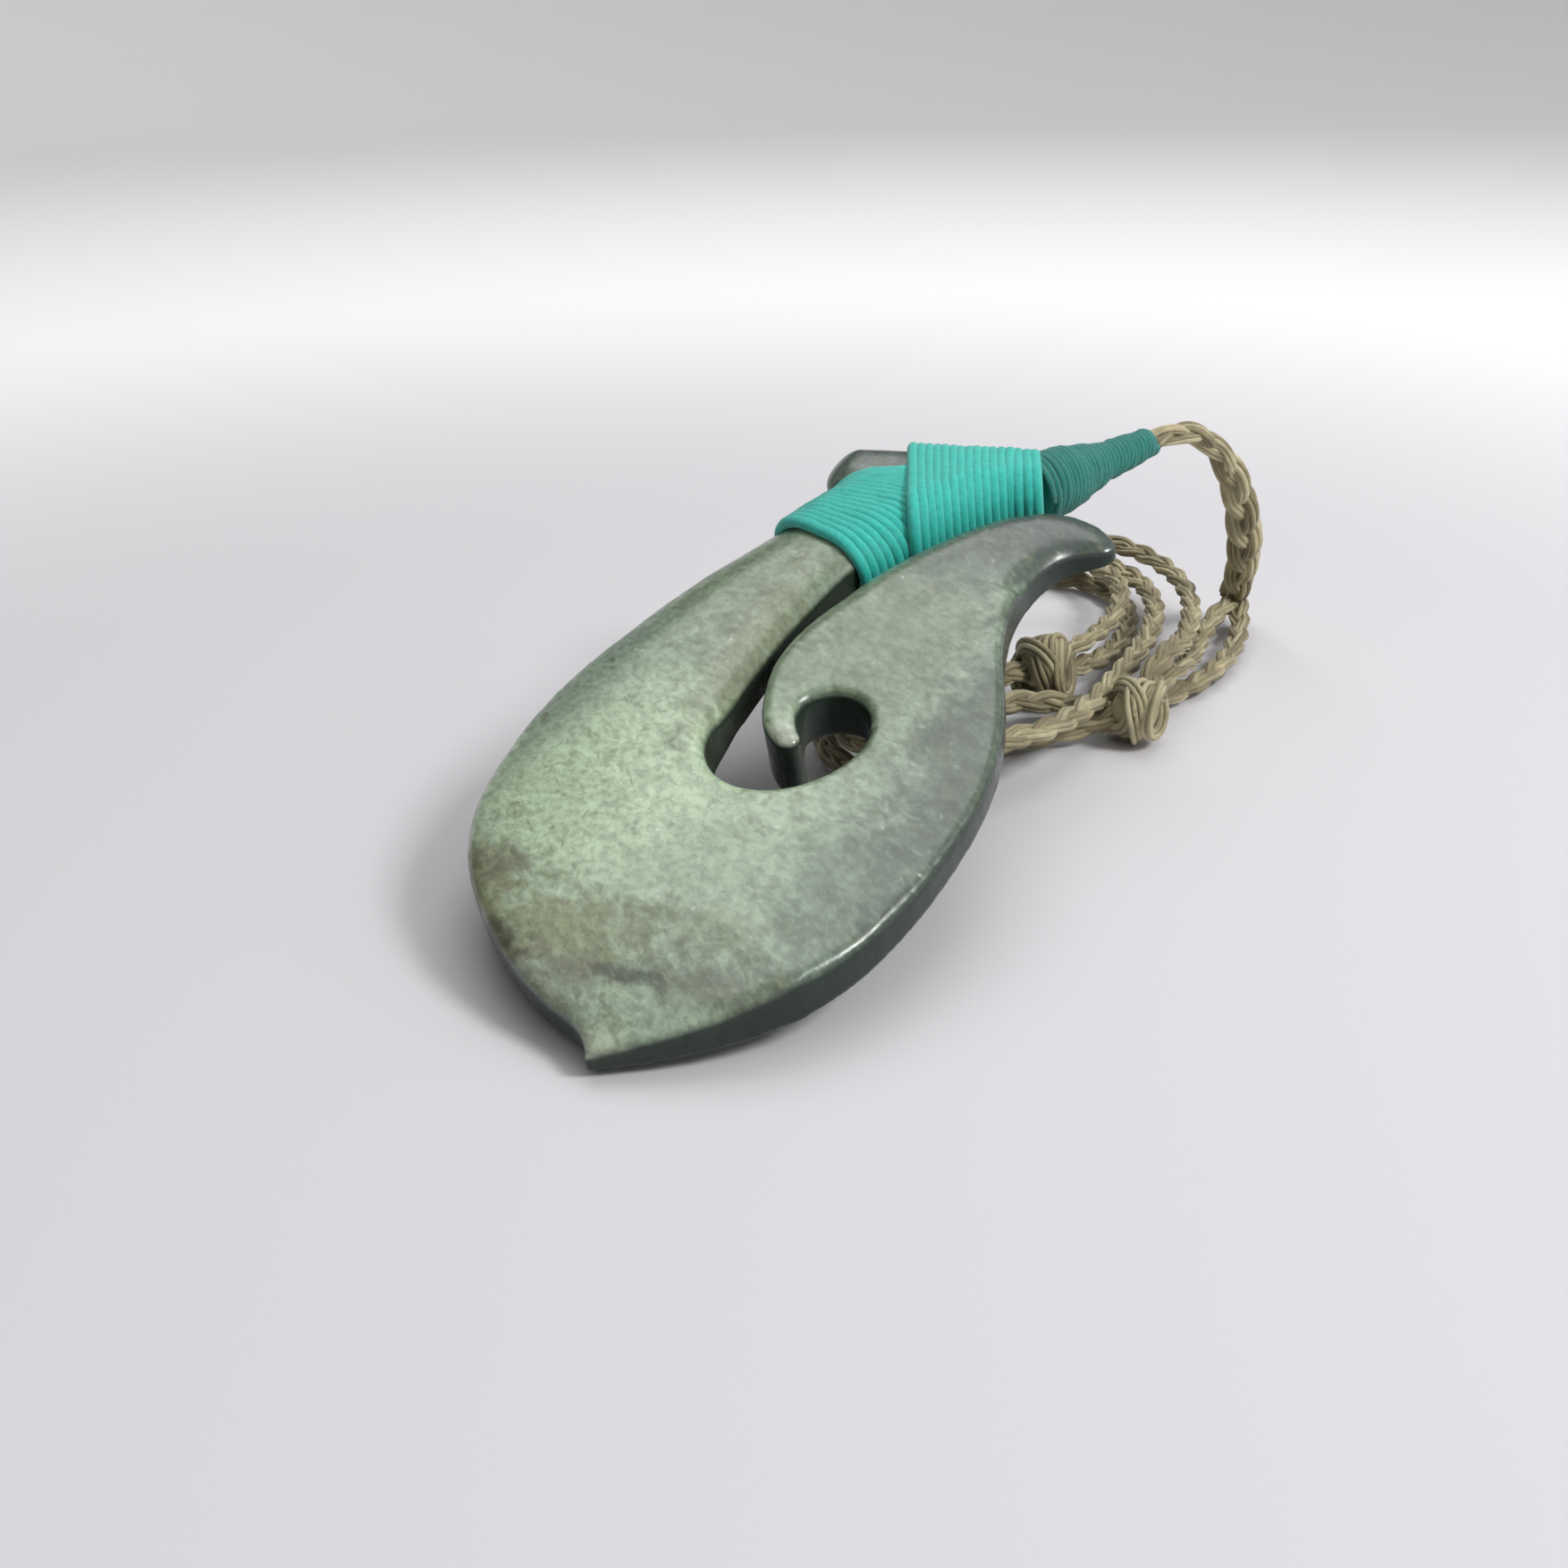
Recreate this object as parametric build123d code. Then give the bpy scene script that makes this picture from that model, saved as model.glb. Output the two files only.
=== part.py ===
from build123d import *
import os
from math import radians, tan

# A hook pendant of carved greenstone with a teal thread lashing and a plaited neck cord.
# Millimetres, +Z up. The pendant lies face up, its tip towards -Y, its head raised on the coiled neck cord.
# The origin is on the surface it lies on, under the middle of the stone and its lashing.

# Stone
stone_thickness = 6.2
edge_thickness = 3.2
tip_thickness = 1.8
half_width = 20.0
tip_taper_length = 16.0

# How the stone lies
head_up_angle = 17.0
tip_x = 0.9
tip_y = -42.3
tip_z = 1.07

# Thread lashing
thread = 0.8
lashing_round = 1.0

# Cord
stem_diameter = 3.6
plait_diameter = 2.7
run_share = 0.45

# The stone's outline in its own plane, from the tip, as points (across, along)
left_edge = [
    (0.0, 0.0),
    (-1.5, 1.9),
    (-4.0, 3.0),
    (-8.7, 5.6),
    (-13.3, 9.4),
    (-17.5, 14.2),
    (-20.7, 20.5),
    (-22.0, 28.0),
    (-21.9, 36.0),
    (-19.6, 45.0),
    (-15.6, 55.3),
    (-11.2, 63.6),
    (-8.3, 70.6),
]
knob = [
    (-8.3, 70.6),
    (-9.9, 72.2),
    (-10.5, 75.2),
    (-9.8, 77.9),
    (-7.4, 78.8),
]
head_end = [
    (-7.4, 78.8),
    (8.2, 79.2),
    (9.4, 76.2),
    (8.6, 72.8),
]
shank_inner_edge = [
    (8.6, 72.8),
    (5.4, 69.3),
    (2.0, 65.0),
    (-1.3, 59.6),
    (-3.0, 53.5),
    (-4.1, 47.0),
    (-4.7, 40.5),
    (-4.9, 34.5),
]
eye = [
    (-4.9, 34.5),
    (-4.1, 30.0),
    (-1.2, 27.2),
    (2.2, 26.8),
    (5.6, 28.7),
    (7.7, 31.9),
    (8.0, 35.6),
    (6.4, 38.6),
    (3.6, 39.2),
    (1.6, 37.6),
    (1.7, 35.4),
    (3.0, 33.4),
]
barb_tip = [
    (3.0, 33.4),
    (2.9, 32.2),
    (1.6, 31.9),
]
blade_inner_edge = [
    (1.6, 31.9),
    (-0.6, 34.0),
    (-2.3, 38.2),
    (-3.1, 43.3),
    (-2.6, 48.6),
    (-1.2, 53.4),
    (1.4, 59.0),
    (5.2, 64.6),
    (9.5, 69.0),
    (14.4, 70.6),
    (18.6, 69.2),
    (20.4, 66.9),
]
point_underside = [
    (20.4, 66.9),
    (19.6, 65.6),
    (17.2, 64.4),
    (15.3, 61.8),
    (14.3, 58.0),
    (14.3, 53.5),
    (15.5, 47.4),
]
right_edge = [
    (15.5, 47.4),
    (17.8, 40.0),
    (18.8, 32.0),
    (18.3, 25.6),
    (16.6, 17.4),
    (13.4, 10.5),
    (9.0, 5.7),
    (4.4, 2.4),
    (0.0, 0.0),
]

# The lashing's outlines in the same plane
shank_band = [
    (-12.9, 61.9),
    (-7.0, 59.9),
    (-1.0, 58.4),
    (2.6, 64.5),
    (-2.0, 72.2),
    (-5.4, 71.2),
    (-9.1, 69.6),
    (-10.5, 67.0),
    (-12.0, 64.2),
]
head_band = [
    (-4.6, 79.9),
    (-1.1, 69.1),
    (1.0, 63.8),
    (1.9, 61.8),
    (6.2, 67.9),
    (9.2, 71.1),
    (11.6, 72.0),
    (10.4, 76.0),
    (9.4, 80.1),
]

# The tapered whipping over the foot of the cord, as (distance along, radius)
whipping_start = (10.2, 76.4)
whipping_end = (18.9, 86.9)
whipping_radii = [
    (0.0, 3.4),
    (0.2, 3.3),
    (0.38, 2.7),
    (0.58, 2.0),
    (0.8, 1.8),
    (1.0, 1.7),
]

# The cord's route where it isn't coiled, in the pendant's own frame
stem_route = [
    (19.9, 41.0, 26.5),
    (21.2, 43.3, 26.9),
    (23.0, 46.6, 26.4),
    (25.2, 50.2, 23.9),
    (26.8, 53.9, 19.4),
    (27.6, 58.0, 13.4),
    (27.2, 62.2, 7.8),
    (25.9, 66.1, 3.3),
]
left_plait_route = [
    (25.8, 65.4, 2.6),
    (24.5, 61.4, 1.9),
    (24.3, 55.6, 1.5),
    (24.6, 49.6, 1.9),
    (25.1, 43.9, 2.9),
    (25.0, 38.2, 4.2),
    (24.3, 33.0, 4.4),
    (23.0, 28.2, 3.6),
]
right_plait_route = [
    (26.6, 65.9, 2.4),
    (27.8, 60.4, 1.5),
    (28.2, 54.6, 1.4),
    (28.0, 48.8, 1.4),
    (27.0, 43.4, 1.4),
    (25.2, 38.6, 1.4),
    (21.2, 33.0, 1.4),
]

# The coil of the neck cord behind and under the head: a long ring, piled higher where the head lies on it
coil_centre = (6.6, 41.4)
coil_radii = (16.2, 37.2)
coil_eye_centre = (4.6, 44.6)
coil_eye_radii = (9.4, 25.6)
pile_profile = [
    (-20.0, 0.0),
    (-20.0, 14.0),
    (11.0, 14.0),
    (20.0, 8.6),
    (90.0, 8.6),
    (90.0, 0.0),
]
rest_gap = 0.3

# Sliding knots, as (centre, radii)
upper_knot_centre = (12.4, 33.2, 4.2)
upper_knot_radii = (3.2, 3.9, 4.1)
lower_knot_centre = (23.1, 27.3, 3.5)
lower_knot_radii = (2.7, 3.4, 3.4)
knot_bay_radius = 4.4


def rounded(solid, edges, radius):
    """The solid with its edges rounded, or as it is where the edges take no round."""
    try:
        return fillet(edges, radius)
    except ValueError:
        print("edge left sharp")
        return solid


def stone_outline():
    """The face inside the carved outline, with the slot and the round eye open to it."""
    with BuildSketch() as sketch:
        with BuildLine():
            Spline(*left_edge)
            Spline(*knob)
            Polyline(*head_end)
            Spline(*shank_inner_edge)
            Spline(*eye)
            Spline(*barb_tip)
            Spline(*blade_inner_edge)
            Spline(*point_underside)
            Spline(*right_edge)
        make_face()
    return sketch.sketch


def domed_slab():
    """A slab whose faces are domed across, and thinner towards the tip."""
    top = stone_thickness / 2
    edge = edge_thickness / 2
    tip = tip_thickness / 2
    side_x = half_width + 4
    side_z = edge * 0.7
    with BuildSketch(Plane.XZ) as across:
        with BuildLine():
            ThreePointArc((-side_x, side_z), (0, top), (side_x, side_z))
            Line((side_x, side_z), (side_x, -side_z))
            ThreePointArc((side_x, -side_z), (0, -top), (-side_x, -side_z))
            Line((-side_x, -side_z), (-side_x, side_z))
        make_face()
    dome = extrude(across.sketch, amount=-100, both=True)
    with BuildSketch(Plane.YZ) as side:
        with BuildLine():
            Spline((-1.0, tip * 0.8), (tip_taper_length / 3, top * 0.7), (tip_taper_length, top),
                   tangents=[(1, 0.45), (1, 0)])
            Line((tip_taper_length, top), (90, top))
            Line((90, top), (90, -top))
            Line((90, -top), (tip_taper_length, -top))
            Spline((tip_taper_length, -top), (tip_taper_length / 3, -top * 0.7), (-1.0, -tip * 0.8),
                   tangents=[(-1, 0), (-1, 0.45)])
            Line((-1.0, -tip * 0.8), (-1.0, tip * 0.8))
        make_face()
    taper = extrude(side.sketch, amount=30, both=True)
    return dome & taper


def hook_stone():
    """The whole carving in its own plane: one stone."""
    blank = extrude(Pos(0, 0, -stone_thickness) * stone_outline(), amount=2 * stone_thickness)
    return (blank & domed_slab()).solid()


def flat_prism(outline, half_height):
    """A straight-sided prism on an outline in the stone's plane, as tall below the plane as above it."""
    with BuildSketch() as sketch:
        with BuildLine():
            Polyline(*outline, close=True)
        make_face()
    return extrude(sketch.sketch, amount=half_height, both=True)


def thread_sleeve(outline, carving):
    """Thread wound tight round the stone: the wound form less the stone inside it."""
    wound = flat_prism(outline, stone_thickness / 2 + thread)
    wound = rounded(wound, wound.edges().filter_by(lambda edge: abs(edge.tangent_at(0.5).Z) < 0.5), lashing_round)
    return (wound - carving).solid()


def stem_whipping(carving, band):
    """The tapered winding that covers the foot of the cord at the inner end of the head."""
    start = Vector(*whipping_start)
    axis = Vector(*whipping_end) - start
    length = axis.length
    outline = [(share * length, radius) for share, radius in whipping_radii]
    with BuildSketch(Plane.XY) as profile:
        with BuildLine():
            Spline(*outline)
            Polyline(outline[-1], (length, 0), (0, 0), outline[0])
        make_face()
    cone = revolve(profile.sketch, Axis.X, 360)
    placed = Pos(start.X, start.Y, 0) * Rot(0, 0, Vector(1, 0, 0).get_signed_angle(axis, Vector(0, 0, 1))) * cone
    return (placed - band - carving).solid()


def laid(solid):
    """A piece from the stone's plane to where it lies, with the head raised on the coil."""
    return Pos(tip_x, tip_y, tip_z) * Rot(head_up_angle, 0, 0) * solid


def arc_radii(name, route):
    """The radius at each corner of a cord's route, as large as its two runs allow."""
    points = [Vector(*point) for point in route]
    radii = []
    for before, corner, after in zip(points, points[1:], points[2:]):
        turn = (corner - before).get_angle(after - corner)
        shorter = min((corner - before).length, (after - corner).length)
        radii.append(run_share * shorter / tan(radians(turn) / 2))
    print(name, "radii", [round(radius, 1) for radius in radii])
    return radii


def cord_tube(name, route, diameter):
    """A plain round tube along straight runs joined by tangent arcs."""
    with BuildLine() as path:
        FilletPolyline(*route, radius=arc_radii(name, route))
    heading = Vector(*route[1]) - Vector(*route[0])
    with BuildSketch(Plane(origin=route[0], z_dir=heading)) as section:
        Circle(diameter / 2)
    centreline = path.wire()
    tube = sweep(section.sketch, centreline)
    length = centreline.length
    share = tube.volume / (section.sketch.area * length)
    print(name, "length", round(length, 1), "volume over section times length", round(share, 3))
    return tube.solid()


def cord_coil():
    """The outer form of the coil: a long ring, whose near end is piled up and carries the lashed head."""
    with BuildSketch() as ring:
        with Locations(coil_centre):
            Ellipse(*coil_radii)
        with Locations(coil_eye_centre):
            Ellipse(*coil_eye_radii, mode=Mode.SUBTRACT)
        with Locations(lower_knot_centre[:2]):
            Circle(knot_bay_radius, mode=Mode.SUBTRACT)
    with BuildSketch(Plane.YZ) as side:
        with BuildLine():
            Polyline(*pile_profile, close=True)
        make_face()
    heap = extrude(side.sketch, amount=30, both=True)
    seat = laid(Pos(0, 0, 50 - stone_thickness / 2 - rest_gap) * Box(200, 200, 100))
    return (extrude(ring.sketch, amount=15) & heap - seat).solid()


def knot(centre, radii):
    """The round form of a sliding knot."""
    ball = scale(Sphere(1.0), by=radii)
    return (Pos(*centre) * ball).solid()


carving = hook_stone()
shank_sleeve = thread_sleeve(shank_band, carving)
head_sleeve = (thread_sleeve(head_band, carving) - shank_sleeve).solid()
whipping = stem_whipping(carving, head_sleeve)

upper_knot = knot(upper_knot_centre, upper_knot_radii)
lower_knot = knot(lower_knot_centre, lower_knot_radii)
coil = (cord_coil() - upper_knot).solid()
stem = (cord_tube("stem", stem_route, stem_diameter) - laid(whipping)).solid()
left_plait = (cord_tube("left plait", left_plait_route, plait_diameter) - stem - coil - lower_knot).solid()
right_plait = (cord_tube("right plait", right_plait_route, plait_diameter) - stem - left_plait - coil - lower_knot).solid()

parts = {
    "hook_stone": laid(carving),
    "shank_lashing": laid(shank_sleeve),
    "head_lashing": laid(head_sleeve),
    "stem_whipping": laid(whipping),
    "stem_plait": stem,
    "left_plait": left_plait,
    "right_plait": right_plait,
    "neck_cord_coil": coil,
    "upper_knot": upper_knot,
    "lower_knot": lower_knot,
}

os.makedirs("parts", exist_ok=True)
for name, solid in parts.items():
    export_step(solid, f"parts/{name}.step")
    print(name, round(solid.volume), "mm3", "valid" if solid.is_valid else "NOT VALID")

held = Compound(children=[parts[name] for name in ("hook_stone", "shank_lashing", "head_lashing", "stem_whipping")])
print("stone and lashing", held.bounding_box())
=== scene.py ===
# %% [markdown]
# # A carved hook pendant
# A flat hook of carved greenstone lies face up, its lashed head raised on its own coiled neck cord. The CAD model
# gives the frame: every piece below goes where its CAD node says, in metres, with +Z up and the tip towards -Y.

from math import cos, pi, radians, sin, sqrt
from random import Random

import bmesh
import bpy
from mathutils import Matrix, Vector, noise
from mathutils.kdtree import KDTree


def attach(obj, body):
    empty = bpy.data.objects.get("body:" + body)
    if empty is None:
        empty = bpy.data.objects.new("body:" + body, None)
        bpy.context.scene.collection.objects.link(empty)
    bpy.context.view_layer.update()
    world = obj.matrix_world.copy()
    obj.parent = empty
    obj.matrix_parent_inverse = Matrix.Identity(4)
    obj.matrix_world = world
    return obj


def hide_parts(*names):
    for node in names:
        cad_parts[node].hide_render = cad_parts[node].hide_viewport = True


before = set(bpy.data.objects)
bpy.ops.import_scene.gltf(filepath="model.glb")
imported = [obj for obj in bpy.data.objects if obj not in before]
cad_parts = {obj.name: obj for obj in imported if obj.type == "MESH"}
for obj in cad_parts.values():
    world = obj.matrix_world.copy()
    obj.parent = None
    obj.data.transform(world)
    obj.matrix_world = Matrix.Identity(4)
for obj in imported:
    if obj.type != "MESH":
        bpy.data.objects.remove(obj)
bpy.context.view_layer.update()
MM = 0.001

# %% [markdown]
# ## Small helpers
# Colours are picked as sRGB hex values, and Blender's nodes want linear ones, so one function turns them. Another
# adds a node with its settings and links, a few more add the nodes that come back often, and the last makes a
# piece's object, which always sits at the origin.

# %% Colour, node and piece helpers


def colour(code):
    """A linear RGBA colour from an sRGB hex value."""
    parts = [int(code[i:i + 2], 16) / 255 for i in (1, 3, 5)]
    return (*[c / 12.92 if c <= 0.04045 else ((c + 0.055) / 1.055) ** 2.4 for c in parts], 1)


def add_node(material, kind, inputs=None, **settings):
    """Adds a node, sets it up, and links the inputs that are given as sockets."""
    node = material.node_tree.nodes.new(kind)
    for name, value in settings.items():
        setattr(node, name, value)
    for name, value in (inputs or {}).items():
        if isinstance(value, bpy.types.NodeSocket):
            material.node_tree.links.new(value, node.inputs[name])
        else:
            node.inputs[name].default_value = value
    return node


def map_range(material, value, low, high, to_low=0.0, to_high=1.0, **settings):
    """A value with its range from low to high stretched to another range."""
    node = add_node(material, "ShaderNodeMapRange", {
        "Value": value, "From Min": low, "From Max": high, "To Min": to_low, "To Max": to_high}, **settings)
    return node.outputs["Result"]


def mix_colours(material, factor, first, second):
    """Two colours, mixed by a factor."""
    return add_node(material, "ShaderNodeMix", {0: factor, 6: first, 7: second}, data_type="RGBA").outputs[2]


def colour_ramp(material, factor, stops):
    """The colour at a factor between stops of (position, hex colour)."""
    node = add_node(material, "ShaderNodeValToRGB", {"Fac": factor})
    for i, (position, code) in enumerate(stops):
        stop = node.color_ramp.elements[i] if i < 2 else node.color_ramp.elements.new(position)
        stop.position, stop.color = position, colour(code)
    return node.outputs["Color"]


def add_bump(material, shader, height, strength, distance):
    """Bumps the shader's surface by a height. The distance is in mm."""
    bump = add_node(material, "ShaderNodeBump", {"Height": height, "Strength": strength, "Distance": distance * MM})
    material.node_tree.links.new(bump.outputs["Normal"], shader.inputs["Normal"])


def new_material(name):
    """An empty node material with a Principled shader, which is returned with it."""
    material = bpy.data.materials.new(name)
    material.use_nodes = True
    return material, material.node_tree.nodes["Principled BSDF"]


def new_piece(name, mesh, material):
    """An object at the origin for a finished mesh."""
    piece = bpy.data.objects.new(name, mesh)
    bpy.context.scene.collection.objects.link(piece)
    mesh.materials.clear()
    mesh.materials.append(material)
    mesh.shade_smooth()
    print(name, "triangles", sum(len(face.vertices) - 2 for face in mesh.polygons))
    return piece


# %% [markdown]
# ## Where the stone lies
# The stone is easiest to shape in its own plane, from the tip (0, 0) up to the head. One matrix then lays it on the
# surface: tilted 17 degrees, with the tip down and the head on the coil, as in the CAD model.

# %% The stone's plane
LAID = Matrix.Translation(Vector((0.9, -42.3, 1.07)) * MM) @ Matrix.Rotation(radians(17.0), 4, "X")
HALF_THICK = 3.1
EDGE_DROP = 1.98
DOME_REACH = 24.0


def top(across):
    """Half the stone's thickness at a distance across, in mm: its faces are slightly domed."""
    return HALF_THICK - EDGE_DROP * (across / DOME_REACH) ** 2


# %% [markdown]
# ## The camera
# It stands where the photograph was taken from: low in front of the tip and to the right, close to the pendant.

# %% Camera
FORWARD = Vector((-0.3647, 0.8269, -0.4281)).normalized()
ROLL = radians(-1.13)
CAMERA_PLACE = Vector((51.5, -122.65, 66.67)) * MM
level_right = FORWARD.cross(Vector((0, 0, 1))).normalized()
level_up = level_right.cross(FORWARD)
right = cos(ROLL) * level_right + sin(ROLL) * level_up
up = -sin(ROLL) * level_right + cos(ROLL) * level_up
camera = bpy.data.objects.new("camera", bpy.data.cameras.new("camera"))
camera.data.lens = 37.97
camera.data.clip_start = 0.005
camera.matrix_world = Matrix.Translation(CAMERA_PLACE) @ Matrix((right, up, -FORWARD)).transposed().to_4x4()
bpy.context.scene.collection.objects.link(camera)
bpy.context.scene.camera = camera

# %% [markdown]
# ## Tubes along lines
# Thread, yarn and cord are all the same thing to a modeller: a section carried along a line. A curve object with a
# bevel does that. It needs a profile for its section, and is then made a mesh, because a mesh can be merged. Each
# curve keeps its own UV map: U goes round the section, V along it.

# %% Sections carried along lines
CAP_MERGE = 1e-7


def section_curve(name, radius, steps):
    """A closed round profile, with a radius in mm."""
    curve = bpy.data.curves.new(name, "CURVE")
    spline = curve.splines.new("POLY")
    spline.points.add(steps - 1)
    spline.use_cyclic_u = True
    for i, point in enumerate(spline.points):
        angle = 2 * pi * i / steps
        point.co = (radius * cos(angle) * MM, radius * sin(angle) * MM, 0, 1)
    holder = bpy.data.objects.new(name, curve)
    bpy.context.scene.collection.objects.link(holder)
    return holder


def swept_mesh(name, lines, section, closed=False, widths=None):
    """One mesh of tubes along several lines of points. Widths scales the section by the share of the line."""
    curve = bpy.data.curves.new(name, "CURVE")
    curve.dimensions = "3D"
    curve.bevel_mode = "OBJECT"
    curve.bevel_object = section
    curve.use_fill_caps = not closed
    for line in lines:
        spline = curve.splines.new("POLY")
        spline.points.add(len(line) - 1)
        spline.use_cyclic_u = closed
        spline.use_smooth = True
        for i, place in enumerate(line):
            spline.points[i].co = (*place, 1)
            if widths:
                spline.points[i].radius = widths(i / (len(line) - 1))
    holder = bpy.data.objects.new(name + "_line", curve)
    bpy.context.scene.collection.objects.link(holder)
    bpy.context.view_layer.update()
    depsgraph = bpy.context.evaluated_depsgraph_get()
    mesh = bpy.data.meshes.new_from_object(holder.evaluated_get(depsgraph), depsgraph=depsgraph)
    bpy.data.objects.remove(holder)
    shape = bmesh.new()
    shape.from_mesh(mesh)
    bmesh.ops.remove_doubles(shape, verts=shape.verts, dist=CAP_MERGE)
    bmesh.ops.recalc_face_normals(shape, faces=shape.faces)
    shape.to_mesh(mesh)
    shape.free()
    return mesh


def add_core(mesh, core):
    """Adds a bmesh core to a mesh. Its faces get a fixed order, because merging leaves them in another one each run."""
    core.verts.index_update()
    faces = []
    for face in core.faces:
        corners = [vert.index for vert in face.verts]
        first = corners.index(min(corners))
        faces.append(corners[first:] + corners[:first])
    ordered = bpy.data.meshes.new("core")
    ordered.from_pydata([vert.co for vert in core.verts], [], sorted(faces))
    core.free()
    whole = bmesh.new()
    whole.from_mesh(ordered)
    whole.from_mesh(mesh)
    whole.to_mesh(mesh)
    whole.free()
    bpy.data.meshes.remove(ordered)


# %% [markdown]
# ## The neck cord's lines
# One thick plait leaves the whipping, arches over and splits into two thin plaits. Each runs round the coil and ends
# in a sliding knot tied round the other. A cord is a smooth curve under its own weight, so each is one NURBS spline.
# Its control points are the CAD model's route points, and a coil is more points of the same spline: the table gives
# the outermost point of each quarter turn, and the loop puts three more on the quarter ellipse to the next.

# %% Routes, in mm
stem_route = [(19.9, 41.0, 26.5), (21.2, 43.3, 26.9), (23.0, 46.6, 26.4), (25.2, 50.2, 23.9), (26.8, 53.9, 19.4),
              (27.6, 58.0, 13.4), (27.2, 62.2, 7.8), (25.9, 66.1, 3.3)]
left_route = [(25.8, 65.4, 2.6), (24.5, 61.4, 1.9), (24.3, 55.6, 1.5), (24.6, 49.6, 1.9), (25.1, 43.9, 2.9),
              (25.0, 38.2, 4.2), (24.3, 33.0, 4.4), (23.0, 28.2, 3.6)]
right_route = [(26.6, 65.9, 2.4), (27.8, 60.4, 1.5), (28.2, 54.6, 1.4), (28.0, 48.8, 1.4), (27.0, 43.4, 1.4),
               (25.2, 38.6, 1.4), (21.2, 33.0, 1.4)]


FULL_SIDE = 2 / 2.8


def quarter_turns(rows, first_side):
    """Control points through the coil's outermost points: side 0 is right, 1 near, 2 left, 3 far, and round again."""
    points = []
    for i, (start, end) in enumerate(zip(rows, rows[1:])):
        side = (first_side + i) % 4
        fullness = FULL_SIDE if side == 0 else 1.0
        for step in range(4):
            angle = pi / 2 * step / 4
            a, b = cos(angle) ** fullness, sin(angle) ** fullness
            if side % 2 == 0:
                place = (end[0] + (start[0] - end[0]) * a, start[1] + (end[1] - start[1]) * b)
            else:
                place = (start[0] + (end[0] - start[0]) * b, end[1] + (start[1] - end[1]) * a)
            points.append((*place, start[2] + (end[2] - start[2]) * (1 - cos(2 * angle)) / 2))
    return points + [rows[-1]]


left_cord_route = (
    left_route
    + [(20.6, 26.6, 2.4), (17.4, 24.6, 1.5), (13.6, 21.4, 1.4), (9.4, 16.6, 1.4), (6.0, 11.8, 1.4)]
    + quarter_turns([(3.0, 7.4, 1.5), (-9.9, 40.0, 1.4), (4.0, 74.4, 3.0), (20.2, 46.0, 3.8), (5.5, 4.8, 7.2),
                     (-9.4, 40.0, 4.2), (5.0, 70.6, 3.9), (15.6, 49.0, 4.6)], 1)
    + [(15.2, 42.6, 5.0), (14.4, 38.2, 5.2), (12.8, 34.4, 4.8), (10.6, 32.4, 4.4)])
right_cord_route = (
    right_route
    + [(18.2, 30.6, 1.5), (14.8, 28.6, 2.6), (11.4, 24.2, 4.0), (8.2, 18.8, 4.2), (5.6, 13.4, 4.3)]
    + quarter_turns([(3.0, 8.0, 4.3), (-7.0, 40.0, 1.4), (4.0, 71.2, 1.4), (16.3, 53.0, 1.4)], 1)
    + [(16.2, 46.0, 1.8), (15.2, 40.4, 2.4), (13.2, 35.6, 3.6), (10.4, 31.6, 4.2), (8.2, 26.8, 5.0), (6.8, 21.2, 6.6),
       (5.6, 15.2, 8.6), (4.2, 9.4, 10.2)]
    + quarter_turns([(0.0, 5.4, 10.5), (-9.0, 40.0, 7.0), (4.0, 75.2, 5.7), (24.2, 47.0, 4.9)], 1)
    + [(24.6, 41.4, 5.8), (24.2, 36.2, 6.8), (23.6, 31.6, 6.2), (23.0, 27.8, 4.0)])
print("control points", len(left_cord_route), len(right_cord_route))

# %% Smooth lines through them
SAME_PLACE = 0.02 * MM


def cord_line(name, route):
    """Points along the NURBS spline that has the route as its control points."""
    curve = bpy.data.curves.new(name, "CURVE")
    curve.dimensions = "3D"
    spline = curve.splines.new("NURBS")
    spline.points.add(len(route) - 1)
    for point, place in zip(spline.points, route):
        point.co = (*(Vector(place) * MM), 1)
    spline.order_u = 3
    spline.use_endpoint_u = True
    spline.resolution_u = 14
    holder = bpy.data.objects.new(name, curve)
    mesh = bpy.data.meshes.new_from_object(holder)
    line = [mesh.vertices[0].co.copy()]
    for vertex in mesh.vertices:
        if (vertex.co - line[-1]).length > SAME_PLACE:
            line.append(vertex.co.copy())
    bpy.data.objects.remove(holder)
    return line


def length_of(line):
    """The length of a line of points, in metres."""
    return sum((b - a).length for a, b in zip(line, line[1:]))


stem_line = cord_line("stem", stem_route)
left_line = cord_line("left_cord", left_cord_route)
right_line = cord_line("right_cord", right_cord_route)
for name, line in (("stem", stem_line), ("left cord", left_line), ("right cord", right_line)):
    print(name, "length mm", round(length_of(line) / MM, 1))

# %% [markdown]
# ## Plaiting the cord
# Each plait has three strands, and each strand is a small bundle of waxed yarns. A flat plait has a simple rule:
# seen along the cord, every strand draws the same lying figure of eight, a third of a cycle after the last one. A
# frame is carried along the cord's line, the figure of eight is drawn in it, and the yarns follow their strand.

# %% Carry a frame along a line, and draw the strands in it
STRAND_REACH = 0.25


def carried_frames(line, step, facing, spin):
    """Evenly spaced places on a line, each with its distance, side and face directions. Spin turns them, in radians."""
    frames, travelled, due = [], 0.0, 0.0
    for a, b in zip(line, line[1:]):
        run = (b - a).length
        tangent = (b - a) / run
        side = tangent.cross(facing).normalized()
        while due <= travelled + run:
            turned = Matrix.Rotation(spin(due / MM), 3, tangent) @ side
            frames.append((a + tangent * (due - travelled), due / MM, turned, turned.cross(tangent)))
            due += step * MM
        travelled += run
    return frames


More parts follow.
